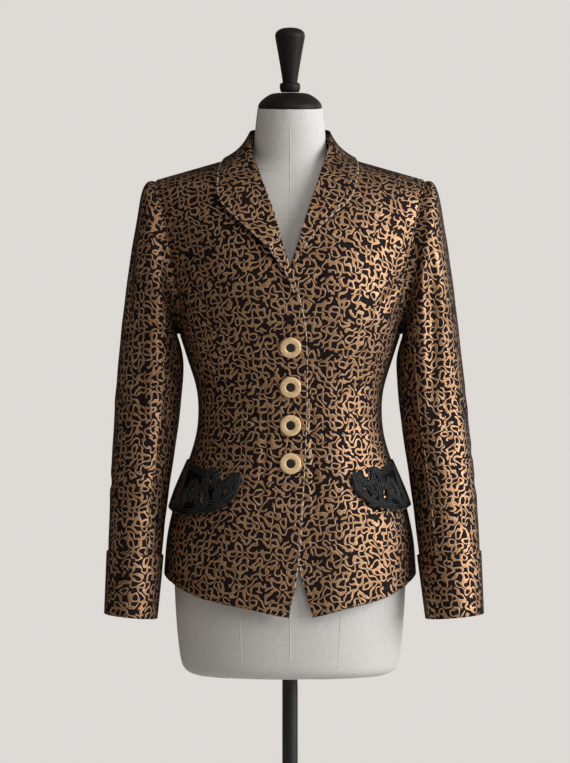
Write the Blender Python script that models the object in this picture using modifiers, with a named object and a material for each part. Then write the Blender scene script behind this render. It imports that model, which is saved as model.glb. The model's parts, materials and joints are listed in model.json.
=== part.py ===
"""A woman's fitted blazer in jacquard cloth, buttoned on a limbless dress form.

Metres, +Z up, the origin under the middle of the stand's base. The wearer faces
-Y, so the wearer's right is -X. The right front laps over the left one. Each half
of the blazer is worked out at +X, and the right one is then turned over to -X.
"""

import math

import bmesh
import bpy
import numpy as np
from mathutils import Vector
from mathutils.geometry import delaunay_2d_cdt

RIGHT = -1
LEFT = 1
SIDES = ((RIGHT, "right"), (LEFT, "left"))

# Cloth
CLOTH = 0.0022  # jacquard with its interlining
SEAM = 0.0004  # left between two pieces that are sewn together
EDGE_EASE = 0.0005  # the inner skin ends this far short of the outer one
LAP = 0.0055  # the left front lies this far in, under the right one
LACE = 0.0016

# Body of the blazer
CHEST_Z = 1.120  # the armholes start here at the side seams
UNDERARM_Z = 1.094
FRONT_FULL = 2.25  # 2 is an ellipse, more is squarer
BACK_FULL = 2.3
SEAM_FRONT = 70.0  # degrees round the section from the centre front
SEAM_BACK = 112.0
NECK_POINT = (0.0570, 0.0080, 1.3495)
SHOULDER_TIP = (0.1876, 0.0000, 1.3116)

# Buttons
BUTTON_X = 0.0005
BUTTON_HEIGHTS = (1.0763, 1.0221, 0.9691, 0.9169)
BUTTON_RADIUS = 0.0145
BUTTON_THICK = 0.0048
BUTTON_EYE = 0.0061  # radius of the dark centre

# Stand
NECK_TOP_Z = 1.4117
NECK_LEAN = math.radians(7)  # the neck's top tilts forward
FORM_BOTTOM_Z = 0.6200
POLE_RADIUS = 0.0110
BASE_RADIUS = 0.1900
BASE_THICK = 0.0120


def table(names, *rows):
    """A short table, as named columns."""
    return dict(zip(names.split(), np.array(rows, float).T))


def through(xs, ys, at):
    """A smooth curve through the points of a table, read at the places given."""
    gap = np.diff(xs)
    system = np.eye(len(xs))
    turn = np.zeros(len(xs))
    for i in range(1, len(xs) - 1):
        system[i, i - 1 : i + 2] = gap[i - 1], 2 * (gap[i - 1] + gap[i]), gap[i]
        turn[i] = 6 * ((ys[i + 1] - ys[i]) / gap[i] - (ys[i] - ys[i - 1]) / gap[i - 1])
    bend = np.linalg.solve(system, turn)
    at = np.clip(at, xs[0], xs[-1])
    k = np.clip(np.searchsorted(xs, at) - 1, 0, len(xs) - 2)
    far = (at - xs[k]) / gap[k]
    near = 1 - far
    cubic = (near**3 - near) * bend[k] + (far**3 - far) * bend[k + 1]
    return near * ys[k] + far * ys[k + 1] + cubic * gap[k] ** 2 / 6


def eased(x):
    """0 to 1, slow at both ends."""
    x = np.clip(x, 0.0, 1.0)
    return x * x * (3 - 2 * x)


# Sections of the blazer's outer skin, from the hem to the chest.
BODY = table(
    "z half_width front back",
    (0.700, 0.1772, 0.1210, 0.1285),
    (0.763, 0.1765, 0.1195, 0.1275),
    (0.800, 0.1745, 0.1170, 0.1255),
    (0.850, 0.1652, 0.1125, 0.1185),
    (0.900, 0.1495, 0.1060, 0.1055),
    (0.945, 0.1332, 0.1000, 0.0915),
    (0.982, 0.1278, 0.0980, 0.0845),
    (1.020, 0.1302, 0.1005, 0.0845),
    (1.050, 0.1398, 0.1075, 0.0880),
    (1.080, 0.1506, 0.1175, 0.0935),
    (1.120, 0.1590, 0.1260, 0.1010),
    (1.160, 0.1625, 0.1265, 0.1060),
)

# The two front edges, from the hem points up to the chest: how far each lies from
# the middle, towards its own side.
FRONT_EDGE = {
    RIGHT: table(
        "z x",
        (0.7077, 0.0020),
        (0.735, -0.0035),
        (0.765, -0.0085),
        (0.805, -0.0130),
        (0.850, -0.0158),
        (0.900, -0.0185),
        (0.980, -0.0222),
        (1.050, -0.0230),
        (1.090, -0.0218),
        (1.120, -0.0185),
    ),
    LEFT: table(
        "z x",
        (0.7077, 0.0310),
        (0.735, 0.0232),
        (0.765, 0.0160),
        (0.805, 0.0070),
        (0.850, -0.0060),
        (0.900, -0.0150),
        (0.980, -0.0215),
        (1.050, -0.0230),
        (1.090, -0.0218),
        (1.120, -0.0185),
    ),
}

# The hem's height across a front, from its edge to its side seam.
FRONT_HEM = table("across z", (0, 0.7077), (0.3, 0.7195), (0.6, 0.7285), (0.85, 0.7410), (1, 0.7540))
SIDE_HEM = table("across z", (0, 0.7540), (0.35, 0.7620), (1, 0.7650))
BACK_HEM_Z = 0.7650

# Above the chest a front runs from its roll line (in) to its armhole (out), and a
# back from its middle and neckline (in) to its armhole. Each row is one level.
FRONT_YOKE = table(
    "in_x in_y in_z out_x out_y out_z swell",
    (-0.0100, -0.1262, 1.1480, 0.1545, -0.0530, 1.1450, 0.0285),
    (-0.0005, -0.1210, 1.1850, 0.1590, -0.0540, 1.1730, 0.0265),
    (0.0118, -0.1090, 1.2230, 0.1635, -0.0530, 1.2010, 0.0225),
    (0.0206, -0.0965, 1.2530, 0.1690, -0.0500, 1.2290, 0.0180),
    (0.0306, -0.0805, 1.2820, 0.1748, -0.0440, 1.2570, 0.0130),
    (0.0398, -0.0605, 1.3120, 0.1810, -0.0320, 1.2850, 0.0080),
    (0.0495, -0.0300, 1.3410, 0.1850, -0.0190, 1.3000, 0.0040),
    (*NECK_POINT, *SHOULDER_TIP, 0.0000),
)
BACK_YOKE = table(
    "in_x in_y in_z out_x out_y out_z swell",
    (0.0000, 0.1060, 1.1600, 0.1535, 0.0550, 1.1500, 0.0190),
    (0.0000, 0.1080, 1.2000, 0.1580, 0.0600, 1.1800, 0.0180),
    (0.0000, 0.1060, 1.2400, 0.1630, 0.0600, 1.2100, 0.0160),
    (0.0000, 0.0990, 1.2800, 0.1685, 0.0560, 1.2400, 0.0135),
    (0.0000, 0.0880, 1.3150, 0.1740, 0.0480, 1.2650, 0.0100),
    (0.0000, 0.0745, 1.3450, 0.1790, 0.0380, 1.2850, 0.0060),
    (0.0420, 0.0560, 1.3505, 0.1840, 0.0230, 1.3000, 0.0020),
    (*NECK_POINT, *SHOULDER_TIP, 0.0000),
)

# The collar's fall, from the middle of the back to its notch: the fold at the neck
# and the outer edge. On a front only x and z count, because it lies on that front.
COLLAR_BACK = table(
    "fold_x fold_y fold_z edge_x edge_y edge_z",
    (0.0000, 0.0686, 1.3915, 0.0000, 0.0890, 1.3330),
    (0.0290, 0.0615, 1.3895, 0.0480, 0.0800, 1.3335),
    (0.0470, 0.0400, 1.3850, 0.0780, 0.0490, 1.3380),
    (0.0548, 0.0120, 1.3800, 0.0885, 0.0100, 1.3440),
)
COLLAR_FRONT = {
    RIGHT: table(
        "fold_x fold_y fold_z edge_x edge_y edge_z",
        (0.0542, -0.0140, 1.3650, 0.0990, -0.0250, 1.3200),
        (0.0505, -0.0360, 1.3450, 0.0978, -0.0600, 1.2809),
        (0.0400, -0.0640, 1.3130, 0.0797, -0.0700, 1.2583),
        (0.0308, -0.0840, 1.2830, 0.0560, -0.0950, 1.2370),
        (0.0208, -0.1000, 1.2540, 0.0410, -0.1050, 1.2230),
        (0.0130, -0.1120, 1.2265, 0.0300, -0.1100, 1.2130),
    ),
    LEFT: table(
        "fold_x fold_y fold_z edge_x edge_y edge_z",
        (0.0542, -0.0140, 1.3650, 0.0940, -0.0250, 1.3220),
        (0.0505, -0.0360, 1.3450, 0.0826, -0.0600, 1.2781),
        (0.0400, -0.0640, 1.3130, 0.0618, -0.0700, 1.2610),
        (0.0308, -0.0840, 1.2830, 0.0480, -0.0950, 1.2484),
        (0.0208, -0.1000, 1.2540, 0.0356, -0.1050, 1.2355),
        (0.0130, -0.1120, 1.2265, 0.0246, -0.1100, 1.2199),
    ),
}
COLLAR_LIFT = {RIGHT: 0.0045, LEFT: 0.0015}  # the fall's edge stands this far off
COLLAR_HOLLOW = (0.0010, 0.0012, 0.0030, 0.0055, 0.0022, 0.0)  # its sag at the first steps

# The stand inside the fall, from the middle of the back: neckline and top.
COLLAR_STAND = table(
    "low_x low_y low_z top_x top_y top_z",
    (0.0000, 0.0738, 1.3468, 0.0000, 0.0640, 1.3875),
    (0.0400, 0.0578, 1.3524, 0.0290, 0.0555, 1.3855),
    (0.0550, 0.0300, 1.3520, 0.0460, 0.0350, 1.3805),
    (0.0568, 0.0085, 1.3512, 0.0522, 0.0110, 1.3758),
    (0.0545, -0.0120, 1.3496, 0.0516, -0.0110, 1.3620),
)

# Each lapel, from the notch down to where the roll ends: roll line and edge.
LAPEL = {
    RIGHT: table(
        "fold_x fold_z edge_x edge_z",
        (0.0127, 1.2261, 0.0297, 1.2126),
        (0.0068, 1.2075, 0.0204, 1.1977),
        (0.0008, 1.1890, 0.0109, 1.1853),
        (-0.0052, 1.1680, 0.0010, 1.1660),
        (-0.0108, 1.1460, -0.0082, 1.1430),
    ),
    LEFT: table(
        "fold_x fold_z edge_x edge_z",
        (0.0127, 1.2261, 0.0243, 1.2195),
        (0.0086, 1.2130, 0.0165, 1.2085),
        (0.0046, 1.2000, 0.0095, 1.1990),
        (0.0014, 1.1900, 0.0046, 1.1890),
    ),
}

# Rings of a sleeve below its armhole: the outermost and innermost points, and the
# middle and half of its depth. The forearm hangs forward.
SLEEVE = table(
    "out_x out_z in_x in_z mid_y half_depth",
    (0.1960, 1.3142, 0.1572, 1.0955, 0.0030, 0.0570),
    (0.2045, 1.3085, 0.1578, 1.0945, 0.0030, 0.0610),
    (0.2100, 1.2900, 0.1574, 1.0920, 0.0030, 0.0645),
    (0.2148, 1.2600, 0.1560, 1.0875, 0.0030, 0.0665),
    (0.2218, 1.2180, 0.1542, 1.0830, 0.0030, 0.0675),
    (0.2298, 1.1620, 0.1512, 1.0740, 0.0040, 0.0665),
    (0.2375, 1.1000, 0.1482, 1.0580, 0.0050, 0.0645),
    (0.2433, 1.0400, 0.1495, 1.0300, 0.0060, 0.0615),
    (0.2472, 0.9950, 0.1530, 0.9900, 0.0050, 0.0590),
    (0.2506, 0.9490, 0.1587, 0.9440, 0.0010, 0.0565),
    (0.2550, 0.8930, 0.1672, 0.8880, -0.0100, 0.0535),
    (0.2576, 0.8370, 0.1738, 0.8320, -0.0220, 0.0505),
    (0.2582, 0.7950, 0.1778, 0.7890, -0.0320, 0.0485),
    (0.2593, 0.7520, 0.1822, 0.7460, -0.0410, 0.0465),
    (0.2606, 0.7100, 0.1870, 0.7030, -0.0480, 0.0450),
)
SLEEVE_ROPE = 0.0028  # the head of a sleeve is roped: it starts this far above the shoulder
SLEEVE_OUT = {RIGHT: -0.0055, LEFT: 0.0055}  # the left forearm is set wider
CUFF_IN = {RIGHT: -0.0015, LEFT: 0.0020}
CUFF_START = 12  # the ring of the table under the cuff's top
SLEEVE_SEAMS = (0.33, 0.68)  # front and back, as shares of the armhole's length

# Soft folds that run down a sleeve: place and half width as shares of the way round
# it, depth, and the heights of the ring's outermost points where they fade out.
SLEEVE_FOLDS = {
    RIGHT: table(
        "share half_width depth top bottom",
        (0.375, 0.040, 0.0045, 1.200, 0.840),
        (-0.120, 0.045, 0.0030, 1.150, 0.860),
    ),
    LEFT: table(
        "share half_width depth top bottom",
        (0.208, 0.036, 0.0065, 1.290, 0.850),
        (0.375, 0.040, 0.0035, 1.150, 0.850),
    ),
}

# A hip flap from its front tip round to the back: upper and lower edge.
FLAP = table(
    "along top bottom",
    (0.00, 0.9045, 0.8920),
    (0.02, 0.9055, 0.8795),
    (0.04, 0.9065, 0.8745),
    (0.06, 0.9075, 0.8710),
    (0.09, 0.9085, 0.8665),
    (0.12, 0.9095, 0.8615),
    (0.16, 0.9105, 0.8572),
    (0.20, 0.9115, 0.8550),
    (0.30, 0.9140, 0.8520),
    (0.40, 0.9160, 0.8505),
    (0.50, 0.9178, 0.8525),
    (0.62, 0.9190, 0.8560),
    (0.80, 0.9205, 0.8578),
    (1.00, 0.9210, 0.8590),
)
FLAP_FRONT = {RIGHT: 22.4, LEFT: 30.0}  # degrees round the body
FLAP_DROP = {RIGHT: 0.0065, LEFT: 0.0}  # the right flap hangs lower
FLAP_END = 104.0
FLAP_LIFT = 0.0040  # the lower edge stands this far off the body

# Gaps in the lace on a flap: place along and down it, half sizes, and slant.
LACE_GAPS = table(
    "along down half_long half_wide slant",
    (0.048, 0.50, 0.0088, 0.0023, 88),
    (0.114, 0.61, 0.0094, 0.0025, 45),
    (0.240, 0.250, 0.0060, 0.0024, 80),
    (0.285, 0.64, 0.0074, 0.0034, -62),
    (0.400, 0.52, 0.0070, 0.0030, 58),
    (0.490, 0.68, 0.0062, 0.0028, -50),
)

# The upper edge of the lace, as a share of the flap's depth.
LACE_TOP = table(
    "along down",
    (0.012, 0.04),
    (0.045, 0.10),
    (0.070, 0.05),
    (0.100, 0.12),
    (0.118, 0.22),
    (0.150, 0.27),
    (0.182, 0.26),
    (0.200, 0.10),
    (0.260, 0.04),
    (0.400, 0.05),
    (0.580, 0.04),
)

# Sections of the dress form.
FORM = table(
    "z half_width front back full",
    (0.6202, 0.1290, 0.0800, 0.0880, 2.3),
    (0.6225, 0.1400, 0.0890, 0.0970, 2.3),
    (0.6290, 0.1490, 0.0960, 0.1045, 2.3),
    (0.6400, 0.1535, 0.0990, 0.1080, 2.3),
    (0.6700, 0.1572, 0.1010, 0.1105, 2.3),
    (0.7100, 0.1605, 0.1040, 0.1130, 2.3),
    (0.7500, 0.1622, 0.1060, 0.1145, 2.3),
    (0.8000, 0.1625, 0.1050, 0.1130, 2.3),
    (0.8500, 0.1550, 0.1000, 0.1060, 2.3),
    (0.9000, 0.1410, 0.0935, 0.0930, 2.3),
    (0.9450, 0.1255, 0.0880, 0.0795, 2.3),
    (0.9820, 0.1200, 0.0860, 0.0725, 2.3),
    (1.0200, 0.1215, 0.0880, 0.0725, 2.3),
    (1.0500, 0.1300, 0.0945, 0.0765, 2.3),
    (1.0800, 0.1400, 0.1035, 0.0820, 2.3),
    (1.1200, 0.1480, 0.1115, 0.0900, 2.3),
    (1.1600, 0.1510, 0.1110, 0.0950, 2.3),
    (1.2000, 0.1525, 0.1030, 0.0960, 2.3),
    (1.2400, 0.1540, 0.0900, 0.0935, 2.2),
    (1.2700, 0.1520, 0.0780, 0.0880, 2.1),
    (1.2900, 0.1400, 0.0690, 0.0820, 2.0),
    (1.3050, 0.1120, 0.0610, 0.0765, 2.0),
    (1.3160, 0.0820, 0.0545, 0.0725, 2.0),
    (1.3240, 0.0690, 0.0500, 0.0695, 2.0),
    (1.3310, 0.0600, 0.0465, 0.0670, 2.0),
    (1.3380, 0.0540, 0.0440, 0.0650, 2.0),
    (1.3440, 0.0510, 0.0428, 0.0630, 2.0),
    (1.3560, 0.0512, 0.0425, 0.0600, 2.0),
    (1.3680, 0.0502, 0.0430, 0.0560, 2.0),
    (1.3900, 0.0482, 0.0445, 0.0500, 2.0),
    (NECK_TOP_Z, 0.0456, 0.0460, 0.0440, 2.0),
)
# The shoulders that run out from the neck, right under the cloth.
SHOULDERS = table(
    "z half_width half_depth",
    (1.2900, 0.1520, 0.0400),
    (1.3050, 0.1480, 0.0400),
    (1.3160, 0.1360, 0.0380),
    (1.3240, 0.1160, 0.0340),
    (1.3310, 0.0995, 0.0220),
    (1.3380, 0.0770, 0.0120),
    (1.3440, 0.0515, 0.0050),
)
FORM_AROUND = 32

# Turned pieces, as (radius, height) down the outer side.
CAP_PROFILE = ((0.0, 0.0220), (0.0265, 0.0218), (0.0400, 0.0120), (0.0451, 0.0055), (0.0450, 0.0003), (0.0, 0.0003))
KNOB_PROFILE = (
    (0.0, 0.1130),
    (0.0120, 0.1118),
    (0.0195, 0.1075),
    (0.0218, 0.1020),
    (0.0205, 0.0950),
    (0.0165, 0.0740),
    (0.0128, 0.0520),
    (0.0107, 0.0385),
    (0.0106, 0.0362),
    (0.0138, 0.0350),
    (0.0149, 0.0310),
    (0.0146, 0.0270),
    (0.0128, 0.0226),
    (0.0, 0.0226),
)
BASE_PROFILE = (
    (0.0, 0.0360),
    (0.0180, 0.0358),
    (0.0215, 0.0330),
    (0.0240, 0.0180),
    (0.0300, 0.0140),
    (BASE_RADIUS - 0.0060, BASE_THICK),
    (BASE_RADIUS, BASE_THICK - 0.0060),
    (BASE_RADIUS, 0.0),
    (0.0, 0.0),
)
BUTTON_PROFILE = (
    (BUTTON_EYE + 0.0003, 0.0026),
    (BUTTON_EYE + 0.0012, 0.0034),
    (BUTTON_RADIUS - 0.0042, BUTTON_THICK - 0.0002),
    (BUTTON_RADIUS - 0.0020, BUTTON_THICK),
    (BUTTON_RADIUS, BUTTON_THICK - 0.0020),
    (BUTTON_RADIUS - 0.0012, 0.0),
    (BUTTON_EYE + 0.0003, 0.0),
)
EYE_PROFILE = ((0.0, 0.0030), (BUTTON_EYE - 0.0015, 0.0026), (BUTTON_EYE, 0.0014), (BUTTON_EYE, 0.0), (0.0, 0.0))


for old in list(bpy.data.objects):
    bpy.data.objects.remove(old)
PARTS = bpy.data.collections.new("Blazer on dress form")
bpy.context.scene.collection.children.link(PARTS)


def material(name, colour, roughness, metallic=0.0):
    made = bpy.data.materials.new(name)
    made.use_nodes = True
    shader = made.node_tree.nodes["Principled BSDF"]
    shader.inputs["Base Color"].default_value = (*colour, 1)
    shader.inputs["Roughness"].default_value = roughness
    shader.inputs["Metallic"].default_value = metallic
    return made


JACQUARD = (0.20, 0.12, 0.06)
BLACK = (0.012, 0.011, 0.011)
LINEN = (0.62, 0.59, 0.53)
GOLD = (0.42, 0.31, 0.15)


def add(name, mesh, look):
    """A named piece of the part, with a material of its own."""
    piece = bpy.data.objects.new(name, mesh)
    mesh.materials.append(material(name, *look))
    PARTS.objects.link(piece)
    return piece


def solid(name, points, faces, look):
    """A closed mesh whose faces all look outwards."""
    mesh = bpy.data.meshes.new(name)
    mesh.from_pydata([tuple(map(float, p)) for p in points], [], faces)
    shape = bmesh.new()
    shape.from_mesh(mesh)
    bmesh.ops.recalc_face_normals(shape, faces=shape.faces)
    shape.to_mesh(mesh)
    shape.free()
    return add(name, mesh, look)


def normals(grid, closed):
    """Unit normals of a grid of points, on the side of columns crossed with rows."""
    up = np.gradient(grid, axis=0)
    if closed:
        along = np.roll(grid, -1, axis=1) - np.roll(grid, 1, axis=1)
    else:
        along = np.gradient(grid, axis=1)
    facing = np.cross(along, up)
    return facing / np.linalg.norm(facing, axis=2, keepdims=True)


def pulled_in(skin, closed):
    """The inner skin, ending a little short of the outer one at its open edges."""
    skin = skin.copy()
    ends = [(skin[0], skin[1]), (skin[-1], skin[-2])]
    if not closed:
        ends += [(skin[:, 0], skin[:, 1]), (skin[:, -1], skin[:, -2])]
    for edge, beside in ends:
        way = beside - edge
        edge += way * EDGE_EASE / np.linalg.norm(way, axis=1, keepdims=True)
    return skin


def wall(name, outer, look, side=1, out=1, closed=False, thick=CLOTH, ridge=False):
    """A wall of cloth: its outer skin is the grid, and its inner one lies inside that.

    A ridge is a last row that another panel meets at an angle, so both take the
    seam's own upright direction there. Cloth that meets at the centre line is square
    to it.
    """
    facing = normals(outer, closed) * out
    if ridge:
        facing[-1, :, 1] = 0
        facing[-1] /= np.linalg.norm(facing[-1], axis=1, keepdims=True)
    facing[np.abs(outer[..., 0]) <= SEAM, 0] = 0
    inner = pulled_in(outer - facing * thick, closed)
    rows, columns = outer.shape[:2]
    count = rows * columns
    flip = np.array((side, 1, 1))
    points = np.concatenate([outer.reshape(-1, 3), inner.reshape(-1, 3)]) * flip
    faces = []
    for r in range(rows - 1):
        for c in range(columns if closed else columns - 1):
            a = r * columns + c
            b = r * columns + (c + 1) % columns
            faces.append((a, b, b + columns, a + columns))
            faces.append(tuple(i + count for i in faces[-1]))
    rims = []
    across = list(range(columns)) + [0] * closed
    rims += list(zip(across, across[1:]))
    last = [(rows - 1) * columns + c for c in across]
    rims += list(zip(last, last[1:]))
    if not closed:
        for c in (0, columns - 1):
            down = [r * columns + c for r in range(rows)]
            rims += list(zip(down, down[1:]))
    faces += [(a, b, b + count, a + count) for a, b in rims]
    return solid(name, points, faces, look)


def body(column, z):
    return through(BODY["z"], BODY[column], z)


def body_front(x, z):
    """How far forward the body's front lies."""
    share = np.clip(np.abs(x) / body("half_width", z), 0, 1)
    return -body("front", z) * (1 - share**FRONT_FULL) ** (1 / FRONT_FULL)


def body_back(x, z):
    share = np.clip(np.abs(x) / body("half_width", z), 0, 1)
    return body("back", z) * (1 - share**BACK_FULL) ** (1 / BACK_FULL)


def body_point(angle, z):
    """A point of the body's section, from the centre front (0) to the back (180)."""
    turn = np.radians(angle)
    full = np.where(angle < 90, FRONT_FULL, BACK_FULL)
    depth = np.where(angle < 90, -body("front", z), body("back", z))
    x = body("half_width", z) * np.abs(np.sin(turn)) ** (2 / full)
    y = depth * np.abs(np.cos(turn)) ** (2 / full)
    return np.stack(np.broadcast_arrays(x, y, z), axis=-1)


def seam_share(angle, full):
    """Where a side seam lies, as a share of the body's half width."""
    return math.sin(math.radians(angle)) ** (2 / full)


FRONT_REACH = seam_share(SEAM_FRONT, FRONT_FULL)
BACK_REACH = seam_share(SEAM_BACK, BACK_FULL)


def yoke(rows, start, depth, out, across, level):
    """A point above the chest, by its share across and its level from 0 to 1.

    start is the row at the chest, and depth the body's own depth there, which the
    first levels run on from. out is -1 where the cloth swells forward.
    """
    steps = np.arange(len(rows["in_x"]) + 1)
    at = level * steps[-1]
    row = {n: through(steps, np.concatenate([[start[n]], rows[n]]), at) for n in rows}
    swell = np.sin(math.pi * across**1.2)
    x = row["in_x"] + (row["out_x"] - row["in_x"]) * across
    z = row["in_z"] + (row["out_z"] - row["in_z"]) * across
    y = row["in_y"] + (row["out_y"] - row["in_y"]) * across + out * row["swell"] * swell
    chest_x = start["in_x"] + (start["out_x"] - start["in_x"]) * across
    plain = start["in_y"] + (start["out_y"] - start["in_y"]) * across + out * start["swell"] * swell
    y = y + (depth(chest_x, CHEST_Z) - plain) * (1 - level) ** 3
    return np.stack([x, y, z], axis=-1)


def chest_row(in_x, reach, depth, swell):
    out_x = reach * body("half_width", CHEST_Z)
    return {
        "in_x": in_x,
        "in_y": float(depth(in_x, CHEST_Z)),
        "in_z": CHEST_Z,
        "out_x": out_x,
        "out_y": float(depth(out_x, CHEST_Z)),
        "out_z": CHEST_Z,
        "swell": swell,
    }


FRONT_CHEST = chest_row(FRONT_EDGE[RIGHT]["x"][-1], FRONT_REACH, body_front, 0.0295)
BACK_CHEST = chest_row(0.0, BACK_REACH, body_back, 0.0195)


def front_yoke(across, level):
    return yoke(FRONT_YOKE, FRONT_CHEST, body_front, -1, across, level)


def back_yoke(across, level):
    return yoke(BACK_YOKE, BACK_CHEST, body_back, 1, across, level)


def front_at(x, z):
    """The depth of a front's outer skin at a place given by its x and z."""
    low = 0.0
    high = 1.0
    for _ in range(30):
        level = (low + high) / 2
        inner, outer = front_yoke(np.array([0.0, 1.0]), level)
        across = (x - inner[0]) / (outer[0] - inner[0])
        if inner[2] + (outer[2] - inner[2]) * across < z:
            low = level
        else:
            high = level
    if z <= CHEST_Z:
        return float(body_front(x, z))
    return float(front_yoke(np.array([np.clip(across, 0, 1)]), level)[0, 1])


def tuck(side, x, z):
    """How far the left front is set in, so that the right one passes over it."""
    if side == RIGHT:
        return 0.0 * x
    return LAP * eased((0.062 - x) / 0.030) * eased((1.260 - z) / 0.055)


def front_grid(side):
    """The outer skin of a front: hem to chest by heights, then chest to shoulder."""
    across = np.sin(np.linspace(0, 1, 12) * math.radians(78)) / math.sin(math.radians(78))
    rows = []
    for share in np.linspace(0, 1, 13):
        hem = through(FRONT_HEM["across"], FRONT_HEM["z"], across)
        z = hem + (CHEST_Z - hem) * share
        edge = through(FRONT_EDGE[side]["z"], FRONT_EDGE[side]["x"], z)
        x = edge + (FRONT_REACH * body("half_width", z) - edge) * across
        rows.append(np.stack([x, body_front(x, z), z], axis=-1))
    for level in np.linspace(0, 1, 12)[1:]:
        rows.append(front_yoke(across, level))
    grid = np.array(rows)
    grid[..., 1] += tuck(side, grid[..., 0], grid[..., 2])
    grid[-1, :, 1] -= SEAM / 2
    return grid


def back_grid():
    across = np.sin(np.linspace(0, 1, 10) * math.radians(74)) / math.sin(math.radians(74))
    rows = []
    for share in np.linspace(0, 1, 12):
        z = np.full_like(across, BACK_HEM_Z + (CHEST_Z - BACK_HEM_Z) * share)
        x = BACK_REACH * body("half_width", z) * across
        rows.append(np.stack([x, body_back(x, z), z], axis=-1))
    for level in np.linspace(0, 1, 12)[1:]:
        rows.append(back_yoke(across, level))
    grid = np.array(rows)
    grid[..., 0] = np.maximum(grid[..., 0], SEAM / 2)
    grid[-1, :, 1] += SEAM / 2
    return grid


def side_top(across):
    """The side panel's upper edge, the lowest part of the armhole."""
    return CHEST_Z - (CHEST_Z - UNDERARM_Z) * (1 - np.abs(2 * across - 1) ** 2.2) ** (1 / 2.2)


def side_grid():
    across = np.linspace(0.004, 0.996, 7)
    angle = SEAM_FRONT + (SEAM_BACK - SEAM_FRONT) * across
    hem = through(SIDE_HEM["across"], SIDE_HEM["z"], across)
    top = side_top(across) - 4 * SEAM
    return np.array([body_point(angle, hem + (top - hem) * s) for s in np.linspace(0, 1, 12)])


def armhole():
    """The armhole's line from the shoulder tip down the front, and up the back."""
    levels = np.linspace(1, 0, 25)
    front = [front_yoke(np.array([1.0]), v)[0] for v in levels]
    back = [back_yoke(np.array([1.0]), v)[0] for v in levels[::-1]]
    across = np.linspace(0, 1, 25)[1:-1]
    under = body_point(SEAM_FRONT + (SEAM_BACK - SEAM_FRONT) * across, side_top(across))
    return np.concatenate([front, under, back])


ARMHOLE = armhole()
ARMHOLE_WAY = np.concatenate([[0], np.cumsum(np.linalg.norm(np.diff(ARMHOLE, axis=0), axis=1))])


def sleeve_rings(side):
    """The sleeve's table for one arm, with the forearm set in or out."""
    low = eased((1.080 - SLEEVE["out_z"]) / 0.280)
    cuff = eased((0.820 - SLEEVE["in_z"]) / 0.120)
    rings = dict(SLEEVE)
    rings["out_x"] = SLEEVE["out_x"] + SLEEVE_OUT[side] * low
    rings["in_x"] = SLEEVE["in_x"] + CUFF_IN[side] * cuff
    return rings


def sleeve_hollow(side, shares, height):
    """How deep the folds of a sleeve are round a ring, by its outermost height."""
    deep = 0 * shares
    for share, half_width, depth, top, bottom in zip(*SLEEVE_FOLDS[side].values()):
        away = (shares - share + 0.5) % 1.0 - 0.5
        fade = eased((top - height) / 0.08) * eased((height - bottom) / 0.12)
        deep = deep + depth * fade * np.exp(-((away / half_width) ** 2))
    return deep


def sleeve_grid(side, shares):
    """The outer skin of a sleeve, down from the armhole, at shares of its length round."""
    way = (shares % 1.0) * ARMHOLE_WAY[-1]
    loop = np.stack([np.interp(way, ARMHOLE_WAY, ARMHOLE[:, i]) for i in range(3)], axis=-1)
    rings = sleeve_rings(side)
    inwards = ARMHOLE.mean(axis=0) - loop
    inwards[:, 0] = 0
    inwards /= np.linalg.norm(inwards, axis=1, keepdims=True)
    roped = SLEEVE_ROPE * np.exp(-((loop[:, 1] / 0.032) ** 2)) * eased((loop[:, 2] - 1.240) / 0.050)
    grid = [loop + np.array((SEAM, 0, 0)) + inwards * (2 * SEAM - roped)[:, None]]
    turn_there = None
    for i in range(len(rings["out_x"])):
        ring = {n: rings[n][i] for n in rings}
        outer = np.array((ring["out_x"], ring["mid_y"], ring["out_z"]))
        inner = np.array((ring["in_x"], ring["mid_y"], ring["in_z"]))
        middle = (outer + inner) / 2
        reach = (outer - inner) / 2
        if turn_there is None:
            ahead = (ring["mid_y"] - loop[:, 1]) / ring["half_depth"]
            above = (loop - middle) @ reach / (reach @ reach)
            turn_there = np.unwrap(np.arctan2(ahead, above))
            turn_there += 2 * math.pi * np.round(shares[0] - turn_there[0] / (2 * math.pi))
        blend = eased(i / 9)
        turn = turn_there * (1 - blend) + 2 * math.pi * shares * blend
        depth = np.array((0, -ring["half_depth"], 0))
        spoke = np.cos(turn)[:, None] * reach + np.sin(turn)[:, None] * depth
        shorter = 1 - sleeve_hollow(side, shares, ring["out_z"]) / np.linalg.norm(spoke, axis=1)
        grid.append(middle + spoke * shorter[:, None])
    return np.array(grid)


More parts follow.
